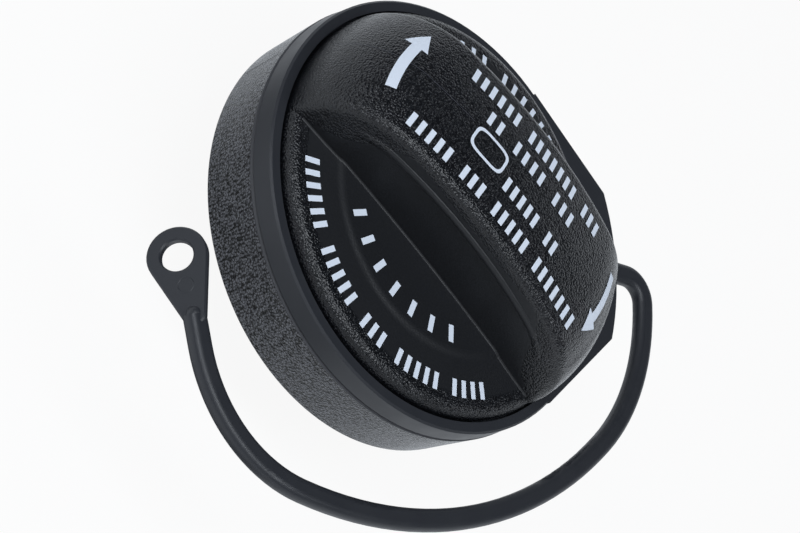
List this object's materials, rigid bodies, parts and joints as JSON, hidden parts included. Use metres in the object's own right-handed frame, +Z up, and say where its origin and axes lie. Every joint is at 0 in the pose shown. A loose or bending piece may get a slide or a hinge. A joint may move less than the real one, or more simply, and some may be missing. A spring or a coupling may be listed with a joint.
{
  "type": "fuel filler cap",
  "caption": "Screw-in fuel filler cap with a domed grip bar, skirt, swivelling moulded tether, click ratchet and pressure and vacuum valves.",
  "frame": {"origin": "on the cap's axis at the neck's lower end, on which it stands", "axes": "+Z up along the cap's axis towards the grip, +X along the grip bar"},
  "size_m": [0.0922, 0.1025, 0.0548],
  "materials": {
    "grained_plastic": "black moulded nylon with a fine leather grain",
    "tether_plastic": "smooth black moulded polyester elastomer",
    "neck_plastic": "smooth black moulded acetal",
    "valve_plastic": "natural moulded acetal",
    "seal_rubber": "moulded nitrile rubber",
    "spring_steel": "drawn stainless spring steel"
  },
  "bodies": {
    "neck": {"closure_body": "neck_plastic", "neck_gasket": "seal_rubber", "ratchet_ring": "valve_plastic", "chamber_cover": "neck_plastic", "pressure_spring": "spring_steel"},
    "grip": {"grip_handle": "grained_plastic", "outer_skirt": "grained_plastic", "retainer_ring": "spring_steel"},
    "tether": {"tether": "tether_plastic"},
    "pressure_valve": {"pressure_plate": "valve_plastic", "pressure_seal": "seal_rubber", "vacuum_spring": "spring_steel"},
    "vacuum_valve": {"vacuum_valve": "valve_plastic", "vacuum_clip": "spring_steel"}
  },
  "joints": [
    {"name": "grip_turn", "type": "hinge", "parent": "neck", "child": "grip", "pos_m": [0, 0, 0.031], "axis": [0, 0, 1], "continuous": true},
    {"name": "tether_swivel", "type": "hinge", "parent": "grip", "child": "tether", "pos_m": [0, 0, 0.033], "axis": [0, 0, 1], "continuous": true},
    {"name": "pressure_lift", "type": "slide", "parent": "neck", "child": "pressure_valve", "axis": [0, 0, 1], "range_m": [0, 0.003], "stiffness_N_per_m": 300, "springref_m": -0.009, "deforming": ["pressure_spring"]},
    {"name": "vacuum_drop", "type": "slide", "parent": "pressure_valve", "child": "vacuum_valve", "axis": [0, 0, -1], "range_m": [0, 0.0025], "stiffness_N_per_m": 80, "springref_m": -0.0035, "deforming": ["vacuum_spring"]}
  ]
}
